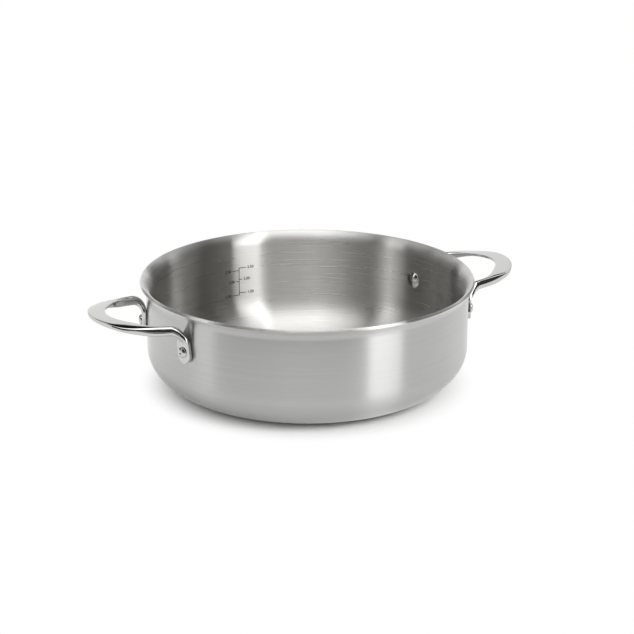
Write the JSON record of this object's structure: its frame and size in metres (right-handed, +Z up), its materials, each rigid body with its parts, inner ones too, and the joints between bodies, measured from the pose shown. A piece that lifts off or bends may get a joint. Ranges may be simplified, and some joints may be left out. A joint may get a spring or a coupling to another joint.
{
  "type": "saute pan",
  "caption": "Low straight-sided clad steel pan with a curved bottom edge, a flared pouring lip and riveted loop handles on opposite sides, for frying and braising.",
  "frame": {"origin": "centre of the flat base, on the surface that the pan stands on", "axes": "+Z up out of the pan, +X through the middle of the right handle, +Y towards the back of the pan as seen with that handle on the right"},
  "size_m": [0.3592, 0.262, 0.086],
  "materials": {
    "skin": "stainless steel brushed round the pan",
    "core": "rolled aluminium, closed in by the steel on both sides and at the rim",
    "lining": "stainless steel brushed round the pan",
    "polished": "cast or turned stainless steel polished to a mirror"
  },
  "bodies": {
    "root": {"outer_skin": "skin", "aluminium_core": "core", "inner_lining": "lining", "handle_right": "polished", "rivet_right_far": "polished", "rivet_right_near": "polished", "handle_left": "polished", "rivet_left_near": "polished", "rivet_left_far": "polished"}
  },
  "joints": []
}
